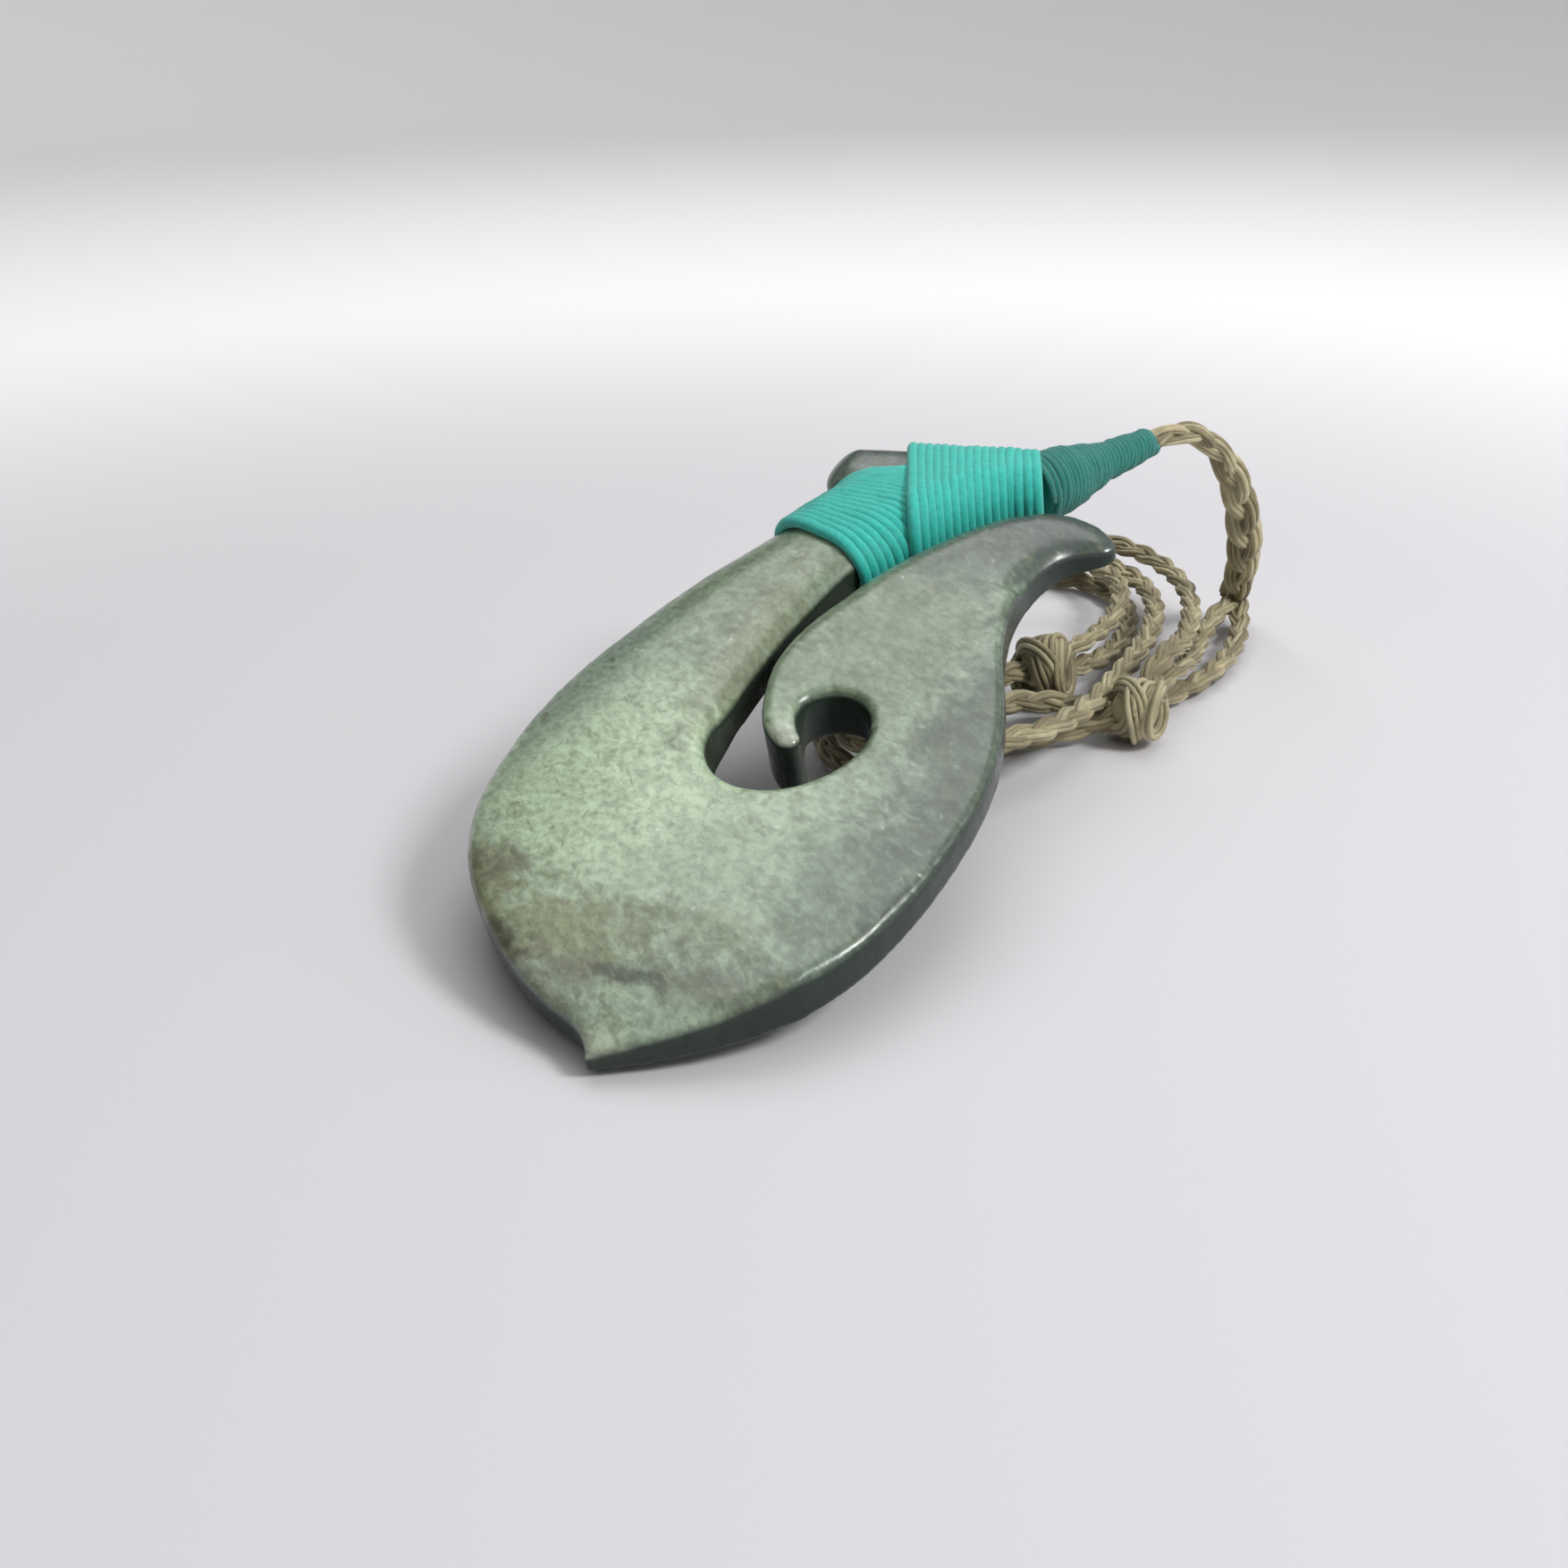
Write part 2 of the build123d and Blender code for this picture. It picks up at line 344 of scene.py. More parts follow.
def plait_strands(line, width, cycle, depth, step, facing, spin, swell=None):
    """The three strands of a plait of that width, in mm: each a list of frames like the line's own.

    Depth is how far the strands lift over each other, as a share of the width.
    """
    frames = carried_frames(line, step, facing, spin)
    whole = frames[-1][1]
    strands = []
    for strand in range(3):
        strands.append([])
        for place, distance, side, over in frames:
            phase = 2 * pi * (distance / cycle + strand / 3)
            size = swell(distance / whole) if swell else 1.0
            across = STRAND_REACH * width * size * sin(phase)
            lift = -depth * width * size * sin(2 * phase)
            strands[-1].append((place + (side * across + over * lift) * MM, distance, side * size, over * size))
    return strands


def yarn_lines(frames, layout, twist):
    """The yarns of one strand: each keeps its place in the layout, in mm, while the layout turns along the strand."""
    lines = []
    for yarn_across, yarn_lift in layout:
        points = []
        for place, distance, side, over in frames:
            angle = 2 * pi * twist * distance
            across = yarn_across * cos(angle) - yarn_lift * sin(angle)
            lift = yarn_across * sin(angle) + yarn_lift * cos(angle)
            points.append(place + (side * across + over * lift) * MM)
        lines.append(points)
    return lines


def ring_layout(count, reach):
    """Places for yarns round a strand's middle."""
    return [(reach * cos(2 * pi * i / count), reach * sin(2 * pi * i / count)) for i in range(count)]


# %% [markdown]
# ## Waxed plant fibre
# The cord is plaited from waxed fibre of a khaki colour: dull, with a faint sheen along the fibres. Streaks along
# each strand come from noise stretched on the strand's own UV map; the same noise bumps them, and their colours are
# partly the fibre's own and partly painted shade in the low fibres and painted highlight on the high ones. Slow
# patches of lighter and darker colour come from noise on the object's coordinates.

# %% Fibre material


def fibre_material(name, along):
    """Waxed khaki fibre. Along is how many fibre streaks lie along a strand's whole length."""
    material, shader = new_material(name)
    place = add_node(material, "ShaderNodeTexCoord")
    stretched = add_node(material, "ShaderNodeMapping", {"Vector": place.outputs["UV"], "Scale": (9.0, along, 1.0)})
    streaks = add_node(material, "ShaderNodeTexNoise", {"Vector": stretched.outputs["Vector"], "Scale": 1.0,
                                                        "Detail": 4.0, "Roughness": 0.65})
    yarn = add_node(material, "ShaderNodeNewGeometry")
    each = map_range(material, yarn.outputs["Random Per Island"], 0.0, 1.0, -0.10, 0.10)
    varied = add_node(material, "ShaderNodeMath", {0: streaks.outputs["Fac"], 1: each}, operation="ADD")
    # Streak colour: partly the fibre's own, partly painted shade in the low fibres and painted highlight on the high
    # ones.
    tone = colour_ramp(material, varied.outputs["Value"],
                       [(0.30, "#4A432F"), (0.44, "#887B5A"), (0.56, "#B5AA84"), (0.70, "#E4DAB8")])
    patches = add_node(material, "ShaderNodeTexNoise", {"Vector": place.outputs["Object"], "Scale": 420.0,
                                                        "Detail": 3.0})
    spread = map_range(material, patches.outputs["Fac"], 0.35, 0.68, 0.72, 1.15)
    tinted = add_node(material, "ShaderNodeVectorMath", {0: tone, 1: spread}, operation="MULTIPLY")
    material.node_tree.links.new(tinted.outputs["Vector"], shader.inputs["Base Color"])
    add_bump(material, shader, streaks.outputs["Fac"], 0.6, 0.12)
    shader.inputs["Roughness"].default_value = 0.62
    shader.inputs["Sheen Weight"].default_value = 0.15
    return material


# %% Plaited stem and cords
stem_yarn = section_curve("stem_yarn", 0.40, 8)
cord_yarn = section_curve("cord_yarn", 0.27, 6)
stem_fibre = fibre_material("waxed_fibre_stem", 30.0)
cord_fibre = fibre_material("waxed_fibre_cord", 230.0)


def stem_swell(share):
    """The stem starts narrow in the whipping, is widest on its way down, and narrows a little where it splits."""
    rows = [(0.0, 0.56), (0.25, 0.62), (0.45, 0.88), (0.68, 1.0), (0.88, 0.90), (1.0, 0.86)]
    for (a, low), (b, high) in zip(rows, rows[1:]):
        if share <= b:
            return low + (high - low) * (1 - cos(pi * (share - a) / (b - a))) / 2
    return rows[-1][1]


def plaited_piece(name, strands, layout, twist, yarn, fibre, widths=None):
    """One piece with every yarn of a plait."""
    lines = [line for strand in strands for line in yarn_lines(strand, layout, twist)]
    return new_piece(name, swept_mesh(name, lines, yarn, widths=widths), fibre)


TO_VIEW = Vector((0.13, -0.95, 0.28))
UP_AND_NEAR = Vector((0.15, -0.72, 0.68))
STEM_WIDTH, STEM_CYCLE, STEM_DEPTH, STEM_STEP = 4.0, 14.5, 0.13, 0.35
CORD_WIDTH, CORD_CYCLE, CORD_DEPTH, CORD_STEP = 2.5, 12.0, 0.085, 0.55
stem_strands = plait_strands(stem_line, STEM_WIDTH, STEM_CYCLE, STEM_DEPTH, STEM_STEP, TO_VIEW,
                             lambda distance: 0.25 * sin(distance * 0.12), stem_swell)
stem = plaited_piece("plaited_stem", stem_strands, [(0.0, 0.0)] + ring_layout(6, 0.60), 0.03, stem_yarn, stem_fibre,
                     stem_swell)
cords = []
for name, line, spin in (("plaited_cord_left", left_line, lambda distance: 0.4 * sin(distance * 0.06) + 0.1),
                         ("plaited_cord_right", right_line, lambda distance: 0.4 * sin(distance * 0.05 + 1.3))):
    strands = plait_strands(line, CORD_WIDTH, CORD_CYCLE, CORD_DEPTH, CORD_STEP, UP_AND_NEAR, spin)
    cords.append(plaited_piece(name, strands, ring_layout(5, 0.36), 0.02, cord_yarn, cord_fibre))
left_cord, right_cord = cords

# %% [markdown]
# ## Sliding knots
# Each cord's end is wrapped round the other cord a few times and tucked through, and pulled tight. So a knot is a
# short barrel of thick bundles of yarn: one line that winds along the cord, fat in the middle, and crosses back over
# its own wraps to the end where it began. A small ball of the same fibre fills the middle.

# %% Two knots
WRAP_STEPS = 26
BACK_STEPS = 22
KNOT_CORE = 2.3


def knot_frames(middle, axis, reach, half_length, wraps, start):
    """Frames along a line that wraps round an axis on a ball, each wrap tilted, and then crosses back over them."""
    rows = []
    steps = WRAP_STEPS * wraps
    for i in range(steps + 1):
        share = i / steps
        fat = reach * sqrt(max(0.12, 1 - 0.7 * (2 * share - 1) ** 2))
        rows.append((half_length * (2 * share - 1), fat, start + 2 * pi * wraps * share))
    for i in range(1, BACK_STEPS + 1):
        share = i / BACK_STEPS
        rows.append((half_length * (1 - 2 * share) * 1.05, reach * (0.7 + 0.62 * sin(pi * share)),
                     start + 2 * pi * wraps + 1.7 * share))
    frames, travelled, last = [], 0.0, None
    for i, (along, fat, angle) in enumerate(rows):
        tilt = Matrix.Rotation(0.55 * sin(2 * pi * 1.3 * i / len(rows)), 3, "Z")
        leaning = tilt @ axis.normalized()
        side = leaning.cross(Vector((0, 0, 1))).normalized()
        outward = side * cos(angle) + side.cross(leaning) * sin(angle)
        place = (middle + leaning * along + outward * fat) * MM
        travelled += (place - last).length / MM if last else 0.0
        frames.append((place, travelled, leaning, outward))
        last = place
    return frames


knot_yarn = section_curve("knot_yarn", 0.31, 8)
knot_fibre = fibre_material("waxed_fibre_knot", 70.0)
bundle = [(-1.0, -0.1), (-0.55, 0.26), (0.0, 0.42), (0.55, 0.26), (1.0, -0.1), (-0.4, -0.35), (0.4, -0.35)]
knots = []
for name, frames in (
        ("upper_sliding_knot", knot_frames(Vector((12.4, 33.2, 4.2)), Vector((0.86, 0.42, 0.28)), 2.8, 2.35, 3, 2.2)),
        ("lower_sliding_knot", knot_frames(Vector((23.1, 27.5, 3.6)), Vector((0.96, 0.26, 0.10)), 2.35, 2.3, 3, 2.6))):
    knot_mesh = swept_mesh(name, yarn_lines(frames, bundle, 0.018), knot_yarn)
    centre = sum((place for place, *_ in frames), Vector()) / len(frames)
    ball = bmesh.new()
    bmesh.ops.create_uvsphere(ball, u_segments=24, v_segments=16, radius=KNOT_CORE * MM,
                              matrix=Matrix.Translation(centre))
    add_core(knot_mesh, ball)
    knots.append(new_piece(name, knot_mesh, knot_fibre))

# %% [markdown]
# ## The carved stone
# The CAD solid has the right outline, thickness and dome, but sharp edges. A carver rolls every edge by hand, wide
# and soft round the outside. A copy of the CAD mesh is remeshed into small even squares. Each point then
# moves by its distance from the outline, and a little smoothing takes the remesh steps away.

# %% Remesh a copy of the CAD solid in the stone's own plane
raw = bmesh.new()
raw.from_mesh(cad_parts["hook_stone"].data)
bmesh.ops.remove_doubles(raw, verts=raw.verts, dist=1e-6)
bmesh.ops.transform(raw, matrix=LAID.inverted(), verts=raw.verts)
blank = bpy.data.meshes.new("stone_blank")
raw.to_mesh(blank)
raw.free()
blank_holder = bpy.data.objects.new("stone_blank", blank)
bpy.context.scene.collection.objects.link(blank_holder)
remesh = blank_holder.modifiers.new("even squares", "REMESH")
remesh.mode = "VOXEL"
remesh.voxel_size = 0.32 * MM
bpy.context.view_layer.update()
depsgraph = bpy.context.evaluated_depsgraph_get()
stone_mesh = bpy.data.meshes.new_from_object(blank_holder.evaluated_get(depsgraph), depsgraph=depsgraph)
bpy.data.objects.remove(blank_holder)

# %% How wide each edge is rolled


def ramp(value, low, high):
    """0 below low, 1 above high, and even in between."""
    return max(0.0, min(1.0, (value - low) / (high - low)))


def edge_roll(across, along, facing, height):
    """How wide the edge is rolled there, in mm, and which share of the thickness it loses at the very edge."""
    if along > 70 and across < 9.8:  # the knob
        return 3.4, 0.62
    if across < -6.5 and along > 14:  # the outer side
        return 1.0 + 4.0 * ramp(along, 16, 34), 0.20 + 0.42 * ramp(along, 16, 34)
    if facing > 0.05 and across < (along - 30) * 0.30 - 2.0:  # the shank's inner side
        return 1.0 + 2.6 * ramp(along, 29, 37), 0.14 + 0.36 * ramp(along, 29, 37)
    if along > 57 and across > 12:  # the point
        return 3.0, 0.44
    if facing < 0.3 and along > 41:  # the blade's inner side
        return 0.9 + 2.4 * ramp(along, 41, 53), 0.14 + 0.40 * ramp(along, 41, 53)
    if (across - 1.2) ** 2 + (along - 33.5) ** 2 < 9:  # the barb's tip
        return 0.8, 0.05
    if height < 0:  # the rest of the underside
        return 3.0, 0.45
    return 0.9, 0.14


# %% Roll the edges, and slim the underside towards the point
WALL_NORMAL = 0.45
SMOOTHINGS = 5
stone = bmesh.new()
stone.from_mesh(stone_mesh)
stone.normal_update()
walls = [vert for vert in stone.verts if abs(vert.normal.z) < WALL_NORMAL]
wall_tree = KDTree(len(walls))
for i, vert in enumerate(walls):
    wall_tree.insert((vert.co.x, vert.co.y, 0), i)
wall_tree.balance()
for vert in stone.verts:
    height = vert.co.z / MM
    near, index, distance = wall_tree.find((vert.co.x, vert.co.y, 0))
    across, along = near.x / MM, near.y / MM
    facing = walls[index].normal.x
    width, drop = edge_roll(across, along, facing, height)
    share = max(0.0, 1 - distance / MM / width)
    slimmer = 1 - 0.5 * ramp(vert.co.x / MM, 11.0, 20.5) ** 2 if vert.co.y / MM > 60 and height < 0 else 1.0
    vert.co.z *= (1 - drop * share * share) * slimmer
for _ in range(SMOOTHINGS):
    bmesh.ops.smooth_vert(stone, verts=stone.verts, factor=0.5, use_axis_x=True, use_axis_y=True, use_axis_z=True)
bmesh.ops.transform(stone, matrix=LAID, verts=stone.verts)
bmesh.ops.recalc_face_normals(stone, faces=stone.faces)
stone.to_mesh(stone_mesh)
stone.free()

# %% [markdown]
# ## Greenstone
# Nephrite is a tough, fine-grained stone. Polished, it takes a soft gloss. Its colour is sage green, clouded with
# grey-green, olive and nearly black patches, and dotted with tiny pale crystals. Each cloud is a soft ellipse in the
# stone's plane whose edge is broken up by noise, so a short table places them all. The light lower left and the dark
# head are partly painted light and shade.

# %% Stone material: coordinates in the stone's plane, and noise of several sizes
stone_finish, stone_shader = new_material("polished_nephrite")
stone_place = add_node(stone_finish, "ShaderNodeTexCoord")
in_plane = add_node(stone_finish, "ShaderNodeMapping", {
    "Vector": stone_place.outputs["Object"], "Location": LAID.translation, "Rotation": LAID.to_euler()},
    vector_type="TEXTURE")
plane_place = in_plane.outputs["Vector"]
drawn_out = add_node(stone_finish, "ShaderNodeMapping", {
    "Vector": plane_place, "Rotation": (0, 0, radians(-38)), "Scale": (1.0, 0.7, 1.0)}, vector_type="TEXTURE")


def stone_noise(size, detail, distortion):
    """Noise whose features are about that size, in mm, drawn out along the grain."""
    node = add_node(stone_finish, "ShaderNodeTexNoise", {
        "Vector": drawn_out.outputs["Vector"], "Scale": 0.55 / (size * MM), "Detail": detail, "Roughness": 0.62,
        "Distortion": distortion})
    return node.outputs["Fac"]


cloud_noise = stone_noise(6.0, 5.0, 0.6)
mottle_noise = stone_noise(1.8, 5.0, 0.5)
grain_noise = stone_noise(0.5, 6.0, 0.4)
vein_noise = stone_noise(1.5, 7.0, 1.4)

# %% Stone material: the clouds of colour
shade = colour_ramp(stone_finish, cloud_noise, [(0.34, "#81937D"), (0.52, "#8D9F88"), (0.68, "#9AAC94")])
# Each row: middle across and along, reach across and along, in mm, then colour, strength and how broken its edge is
clouds = [
    # The light lower left: partly the stone's own clouding, partly painted light.
    ((-8.0, 26.0), (17.0, 17.0), "#A9BF9D", 0.85, 0.30),
    ((6.0, 19.0), (12.0, 9.0), "#8A9E83", 0.60, 0.40),
    ((13.5, 17.0), (7.0, 14.0), "#5F7160", 0.80, 0.50),
    ((6.0, 50.0), (12.0, 24.0), "#687A60", 0.85, 0.45),
    ((17.5, 33.0), (6.5, 30.0), "#3E4C40", 0.88, 0.60),
    ((-9.0, 56.0), (15.0, 18.0), "#6E7F66", 0.75, 0.35),
    ((10.0, 62.0), (10.0, 9.0), "#4C5A4E", 0.85, 0.30),
    ((-19.0, 40.0), (5.0, 16.0), "#7B8D7C", 0.60, 0.40),
    # The dark head: partly the stone's own clouding, partly painted shade.
    ((0.0, 80.0), (30.0, 15.0), "#525C57", 1.00, 0.20),
    ((17.0, 67.0), (12.0, 10.0), "#36423B", 0.95, 0.25),
    ((-6.0, 44.0), (3.5, 16.0), "#6A7050", 0.70, 0.90),
    ((-17.0, 13.0), (7.0, 5.0), "#66644A", 0.85, 0.90),
    ((-7.0, 9.0), (10.0, 4.5), "#7A7E5C", 0.75, 1.00),
    ((-6.5, 4.5), (6.0, 4.0), "#6F7163", 0.65, 0.90),
    ((-10.5, 7.5), (3.0, 2.0), "#3F3E30", 0.70, 0.90),
    ((0.5, 6.6), (3.2, 1.0), "#34372C", 0.80, 0.60),
    ((2.0, 33.0), (2.2, 2.6), "#A9AE9F", 0.70, 0.60),
    ((4.0, 12.0), (7.0, 3.0), "#6D7658", 0.50, 1.00),
    ((0.5, 0.8), (3.5, 2.4), "#A9B19A", 0.70, 0.40),
    ((7.0, 7.5), (7.0, 2.6), "#555B49", 0.70, 0.90),
]
for middle, reach, code, strength, broken in clouds:
    centred = add_node(stone_finish, "ShaderNodeMapping", {
        "Vector": plane_place, "Location": (middle[0] * MM, middle[1] * MM, 0),
        "Scale": (reach[0] * MM, reach[1] * MM, 1.0)}, vector_type="TEXTURE")
    outward = add_node(stone_finish, "ShaderNodeVectorMath", {0: centred.outputs["Vector"]}, operation="LENGTH")
    frayed = add_node(stone_finish, "ShaderNodeMath", {
        0: mottle_noise, 1: broken * 2.2, 2: outward.outputs["Value"]}, operation="MULTIPLY_ADD")
    mask = map_range(stone_finish, frayed.outputs["Value"], 0.35 + broken * 1.1, 1.15 + broken * 1.1, strength, 0.0,
                     interpolation_type="SMOOTHSTEP")
    shade = mix_colours(stone_finish, mask, shade, colour(code))

# %% Stone material: veins, mottling, flecks and crystals
vein_mask = map_range(stone_finish, vein_noise, 0.56, 0.66, 0.0, 0.55)
shade = mix_colours(stone_finish, vein_mask, shade, colour("#666B4C"))
for noise_value, low, high, darkest, lightest in ((mottle_noise, 0.34, 0.66, 0.88, 1.06),
                                                  (grain_noise, 0.38, 0.60, 0.72, 1.12)):
    level = map_range(stone_finish, noise_value, low, high, darkest, lightest)
    shade = add_node(stone_finish, "ShaderNodeVectorMath", {0: shade, 1: level}, operation="MULTIPLY").outputs["Vector"]
fleck_mask = map_range(stone_finish, grain_noise, 0.60, 0.72, 0.0, 0.30)
shade = mix_colours(stone_finish, fleck_mask, shade, colour("#A9B59C"))
crystals = add_node(stone_finish, "ShaderNodeTexVoronoi", {"Vector": plane_place, "Scale": 520.0})
crystal_size = map_range(stone_finish, crystals.outputs["Distance"], 0.04, 0.13, 0.45, 0.0)
crystal_here = map_range(stone_finish, mottle_noise, 0.53, 0.60)
crystal_mask = add_node(stone_finish, "ShaderNodeMath", {0: crystal_size, 1: crystal_here}, operation="MULTIPLY")
shade = mix_colours(stone_finish, crystal_mask.outputs["Value"], shade, colour("#D3DACB"))

# %% Stone material: side walls painted darker, partly as painted shade, and duller
stone_normal = add_node(stone_finish, "ShaderNodeVectorMath", {
    0: stone_place.outputs["Normal"], 1: LAID.to_3x3() @ Vector((0, 0, 1))}, operation="DOT_PRODUCT")
# Side walls painted darker: partly the stone's own darker tone, partly painted shade.
wall_tone_and_shade_mask = map_range(stone_finish, stone_normal.outputs["Value"], 0.15, 0.80, 0.94, 0.0)
shade = mix_colours(stone_finish, wall_tone_and_shade_mask, shade, colour("#1D2923"))
dulled = map_range(stone_finish, stone_normal.outputs["Value"], 0.05, 0.50, 0.22, 0.50)

# %% Stone material: polish and fine pits
gloss = map_range(stone_finish, mottle_noise, 0.35, 0.65, 0.36, 0.18)
for socket, name in ((shade, "Base Color"), (dulled, "Specular IOR Level"), (gloss, "Roughness")):
    stone_finish.node_tree.links.new(socket, stone_shader.inputs[name])
add_bump(stone_finish, stone_shader, grain_noise, 0.3, 0.05)
stone_shader.inputs["IOR"].default_value = 1.61
stone_shader.inputs["Subsurface Weight"].default_value = 0.08
stone_shader.inputs["Subsurface Radius"].default_value = (0.6, 1.0, 0.7)
stone_shader.inputs["Subsurface Scale"].default_value = 0.6 * MM
carving = new_piece("carved_greenstone", stone_mesh, stone_finish)

# %% [markdown]
# ## The thread lashing
# Waxed thread is wound tight round the shank, and then over the head and across the first band. A sleeve with a
# striped bump would look flat at its edges, so every turn is modelled: a closed loop round the stone, from a point
# on one edge to a point on the other. The ends of the loops share out a line along each edge, so the turns fan as
# the real ones do.

# %% Teal waxed thread


def thread_material(name, along, groove_shade, crest_light):
    """Waxed teal thread with painted shade in its twist grooves. Along is the number of twists in a turn's length."""
    material, shader = new_material(name)
    place = add_node(material, "ShaderNodeTexCoord")
    parts = add_node(material, "ShaderNodeSeparateXYZ", {0: place.outputs["UV"]})
    phase = add_node(material, "ShaderNodeMath", {0: parts.outputs["Y"], 1: along, 2: parts.outputs["X"]},
                     operation="MULTIPLY_ADD")
    whole = add_node(material, "ShaderNodeMath", {0: phase.outputs["Value"], 1: 2 * pi}, operation="MULTIPLY")
    wave = add_node(material, "ShaderNodeMath", {0: whole.outputs["Value"]}, operation="SINE")
    fuzz = add_node(material, "ShaderNodeTexNoise", {"Vector": place.outputs["Object"], "Scale": 1900.0,
                                                     "Detail": 4.0})
    height = add_node(material, "ShaderNodeMath", {0: fuzz.outputs["Fac"], 1: 1.6, 2: wave.outputs["Value"]},
                      operation="MULTIPLY_ADD")
    # Painted shade: the colour follows the twist's height, dark in the grooves and light on the crests, with fine fuzz.
    tone = map_range(material, height.outputs["Value"], -0.4, 2.0)
    material.node_tree.links.new(mix_colours(material, tone, colour(groove_shade), colour(crest_light)),
                                 shader.inputs["Base Color"])
    add_bump(material, shader, height.outputs["Value"], 0.5, 0.05)
    shader.inputs["Roughness"].default_value = 0.55
    shader.inputs["Sheen Weight"].default_value = 0.25
    return material


# %% Turns round the stone
THREAD = 0.80
ROUNDED = 0.76
BEDDED = 0.45
WANDER = 0.07
UNEVEN = 0.008
FLAT_STEPS, CORNER_STEPS = 12, 8
thread_section = section_curve("thread_section", ROUNDED * THREAD, 10)
turn_thread = thread_material("waxed_thread_turns", 46.0, "#0A9A8E", "#30DCCB")
draws = Random(11)


def along_line(points, share):
    """The point at a share of the way along a line of (across, along) points."""
    places = [Vector(point) for point in points]
    runs = [(b - a).length for a, b in zip(places, places[1:])]
    due = share * sum(runs)
    for a, b, run in zip(places, places[1:], runs):
        if due <= run:
            return a.lerp(b, due / run)
        due -= run
    return places[-1]


def turn_line(start, end, lift, end_lift):
    """One closed turn round the stone, in front from start to end and back behind it, laid in place."""
    middle, reach = (start + end) / 2, (end - start).length / 2 - THREAD / 2
    heading = (end - start).normalized()
    corner = min(4.2, 0.7 * reach)
    flat = reach - corner
    shape = [(-flat + 2 * flat * i / FLAT_STEPS, 1.0) for i in range(FLAT_STEPS + 1)]
    for i in range(1, CORNER_STEPS + 1):
        bend = pi / 2 * i / CORNER_STEPS
        shape.append((flat + corner * sin(bend), cos(bend)))
    shape += [(s, -v) for s, v in reversed(shape[:-1])]
    shape += [(-s, v) for s, v in reversed(shape[FLAT_STEPS + 1:-(FLAT_STEPS + 1)])]
    points = []
    for s, v in shape:
        place = middle + heading * s
        raised = lift + (end_lift - lift) * (0.5 + 0.5 * s / reach)
        wander = WANDER * noise.noise(Vector((place.x * 0.6, place.y * 0.6, v * 3 + 7)))
        height = v * (top(place.x) + THREAD * BEDDED + raised + wander)
        points.append(LAID @ (Vector((place.x, place.y + wander, height)) * MM))
    return points


def band_lines(left_ends, right_ends, count, end_lift):
    """The turns of one band, from the first to the last pair of ends. The far ends may lie on other turns."""
    lines = []
    for k in range(count):
        share = k / (count - 1)
        start = along_line(left_ends, share + draws.uniform(-UNEVEN, UNEVEN))
        end = along_line(right_ends, share + draws.uniform(-UNEVEN, UNEVEN))
        lines.append(turn_line(start, end, draws.uniform(0.0, 0.08), end_lift(share)))
    return lines


shank_turns = band_lines([(-11.9, 63.9), (-11.1, 65.8), (-10.0, 67.8), (-9.0, 69.6)],
                         [(-0.6, 58.6), (2.6, 64.1), (5.6, 68.6)], 13, lambda share: 0.0)
shank_turns += band_lines([(-9.0, 69.6), (-8.8, 70.2)], [(5.6, 68.6), (9.6, 72.4), (11.0, 75.6)], 9,
                          lambda share: 0.0)
head_turns = band_lines([(-3.0, 79.4), (9.2, 79.7)], [(2.7, 62.9), (6.4, 67.7), (9.2, 71.0), (11.6, 72.0)], 16,
                        lambda share: 1.0 if share < 0.4 else 1.0 - 1.1 * (share - 0.4))
shank_band, head_band = [
    new_piece(name, swept_mesh(name, band, thread_section, closed=True), turn_thread)
    for name, band in (("shank_thread_turns", shank_turns), ("head_thread_turns", head_turns))]

# %% [markdown]
# ## The tapered whipping
# Where the cord leaves the head, the thread is whipped round its foot in a cone. One helix that narrows with the
# cone makes the winding, and a spun core under it closes the gaps between turns.

# %% Whipping
WHIP_THREAD = 0.36
CORE_STEPS, CORE_BELOW = 8, 0.5
whip_section = section_curve("whip_section", WHIP_THREAD, 8)
whip_start, whip_end = Vector((10.2, 76.4, 0)), Vector((18.9, 86.9, 0))
whip_axis = (whip_end - whip_start).normalized()
whip_side = whip_axis.cross(Vector((0, 0, 1)))
whip_length = (whip_end - whip_start).length
whip_radii = [(0.0, 3.4), (0.2, 3.35), (0.38, 2.7), (0.57, 1.95), (0.8, 1.75), (1.0, 1.5)]


def whip_radius(share):
    """The cone's radius at a share of its length."""
    for (a, low), (b, high) in zip(whip_radii, whip_radii[1:]):
        if share <= b:
            return low + (high - low) * (share - a) / (b - a)
    return whip_radii[-1][1]


helix = []
WHIP_TURNS, WHIP_STEPS = 30, 20
for i in range(WHIP_TURNS * WHIP_STEPS + 1):
    share, angle = i / (WHIP_TURNS * WHIP_STEPS), 2 * pi * i / WHIP_STEPS
    uneven = noise.noise(Vector((share * 22, cos(angle) * 0.8, sin(angle) * 0.8)))
    reach = whip_radius(share) - WHIP_THREAD + 0.16 * uneven
    slant = 0.55 * sin(angle + 0.6) * (1 - 0.6 * share) * min(1.0, share * 12, (1 - share) * 12)
    place = whip_start + whip_axis * (whip_length * share + slant)
    helix.append(LAID @ ((place + (whip_side * cos(angle) + Vector((0, 0, 1)) * sin(angle)) * reach) * MM))
whip_mesh = swept_mesh("stem_thread_turns", [helix], whip_section)
core = bmesh.new()
outline = [whip_start]
for i in range(CORE_STEPS + 1):
    core_radius = whip_radius(i / CORE_STEPS) - CORE_BELOW
    outline.append(whip_start + whip_axis * whip_length * i / CORE_STEPS + whip_side * core_radius)
profile = [core.verts.new(LAID @ (place * MM)) for place in outline + [whip_end]]
edges = [core.edges.new(pair) for pair in zip(profile, profile[1:])]
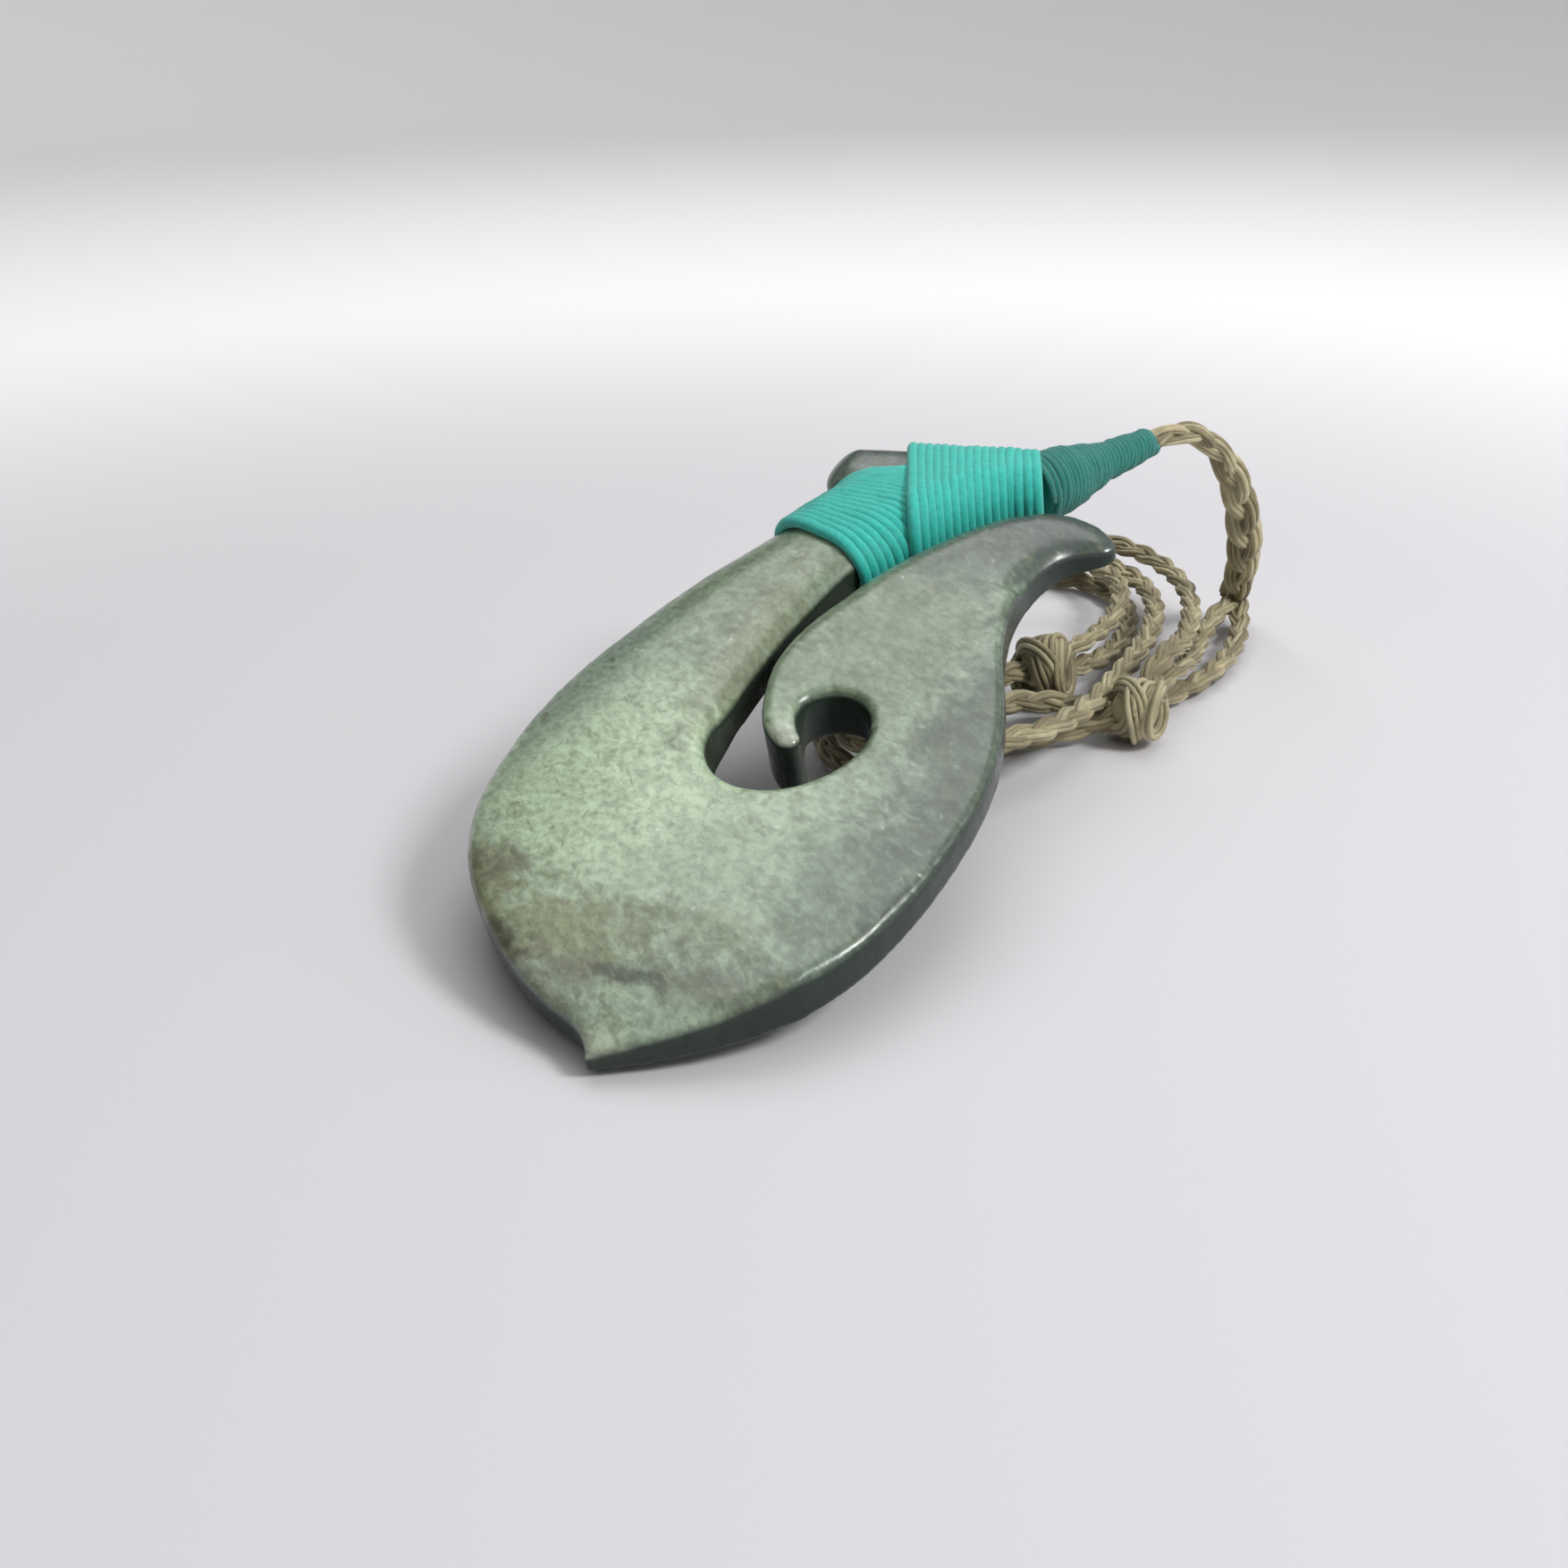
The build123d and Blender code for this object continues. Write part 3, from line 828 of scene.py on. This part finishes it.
bmesh.ops.spin(core, geom=profile + edges, cent=LAID @ (whip_start * MM), axis=LAID.to_3x3() @ whip_axis,
               angle=2 * pi, steps=32, use_merge=True)
bmesh.ops.remove_doubles(core, verts=core.verts, dist=1e-6)
bmesh.ops.recalc_face_normals(core, faces=core.faces)
add_core(whip_mesh, core)
whip_thread = thread_material("waxed_thread_whipping", 420.0, "#036059", "#12988C")
whipping = new_piece("stem_thread_turns", whip_mesh, whip_thread)

# %% [markdown]
# ## Floor and light
# A plain pale floor that sweeps up at its far rim, a soft light from the right that throws a soft shadow to the left,
# a weaker one from above, and a pale sky that fills the shadows.

# %% Floor
floor_shape = bmesh.new()
FLOOR_REACH, SWEEP = 0.9, 0.3
sweep_profile = [(0.0, 0.0), (FLOOR_REACH, 0.0)] + [
    (FLOOR_REACH + SWEEP * sin(radians(a)), SWEEP - SWEEP * cos(radians(a))) for a in range(10, 81, 10)]
rim = [floor_shape.verts.new((reach, 0, height)) for reach, height in sweep_profile]
rim_edges = [floor_shape.edges.new(pair) for pair in zip(rim, rim[1:])]
bmesh.ops.spin(floor_shape, geom=rim + rim_edges, cent=(0, 0, 0), axis=(0, 0, 1), angle=2 * pi, steps=96,
               use_merge=True)
bmesh.ops.remove_doubles(floor_shape, verts=floor_shape.verts, dist=1e-6)
bmesh.ops.recalc_face_normals(floor_shape, faces=floor_shape.faces)
floor_mesh = bpy.data.meshes.new("floor")
floor_shape.to_mesh(floor_mesh)
floor_shape.free()
floor_finish, floor_shader = new_material("pale_matt_surface")
floor_place = add_node(floor_finish, "ShaderNodeTexCoord")
floor_far = add_node(floor_finish, "ShaderNodeVectorMath", {0: floor_place.outputs["Object"]}, operation="LENGTH")
floor_tone = map_range(floor_finish, floor_far.outputs["Value"], 0.09, 0.32, interpolation_type="SMOOTHSTEP")
floor_colour = mix_colours(floor_finish, floor_tone, colour("#CBC9CC"), colour("#FAFAFB"))
floor_finish.node_tree.links.new(floor_colour, floor_shader.inputs["Base Color"])
floor_shader.inputs["Roughness"].default_value = 0.9
floor = new_piece("floor", floor_mesh, floor_finish)

# %% Lights
for name, place, aim, size, power in (
        ("key", (0.38, -0.02, 0.36), (0, 0, 0.01), 0.14, 1.75),
        ("top", (-0.10, 0.25, 0.55), (0, 0, 0), 0.5, 1.5)):
    lamp = bpy.data.objects.new(name, bpy.data.lights.new(name, "AREA"))
    lamp.data.size, lamp.data.energy = size, power
    lamp.location = place
    lamp.rotation_euler = (Vector(aim) - Vector(place)).to_track_quat("-Z", "Y").to_euler()
    bpy.context.scene.collection.objects.link(lamp)
world = bpy.data.worlds.new("pale_studio")
world.use_nodes = True
backdrop = world.node_tree.nodes["Background"]
sky_place = add_node(world, "ShaderNodeTexCoord")
sky_side = add_node(world, "ShaderNodeVectorMath", {0: sky_place.outputs["Generated"], 1: (0.45, 0.1, 0.9)},
                    operation="DOT_PRODUCT")
world.node_tree.links.new(map_range(world, sky_side.outputs["Value"], 0.15, 0.95, 0.02, 0.85),
                          backdrop.inputs["Strength"])
backdrop.inputs["Color"].default_value = colour("#F6F7F8")
bpy.context.scene.world = world
bpy.context.scene.view_settings.view_transform = "Standard"

# %% [markdown]
# ## What each piece stands for
# Every piece rides on the one body and replaces its plain CAD node.

# %% Ride and replace
for piece, nodes, slot_name in (
        (carving, ["hook_stone"], "greenstone"),
        (shank_band, ["shank_lashing"], "teal_thread"),
        (head_band, ["head_lashing"], "teal_thread"),
        (whipping, ["stem_whipping"], "teal_thread"),
        (stem, ["stem_plait"], "plaited_fibre"),
        (left_cord, ["left_plait", "neck_cord_coil"], "plaited_fibre"),
        (right_cord, ["right_plait"], "plaited_fibre"),
        (knots[0], ["upper_knot"], "plaited_fibre"),
        (knots[1], ["lower_knot"], "plaited_fibre")):
    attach(piece, "root")
    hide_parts(*nodes)

# %% Remove the section profiles, and finish
for section in (stem_yarn, cord_yarn, knot_yarn, thread_section, whip_section):
    bpy.data.objects.remove(section)
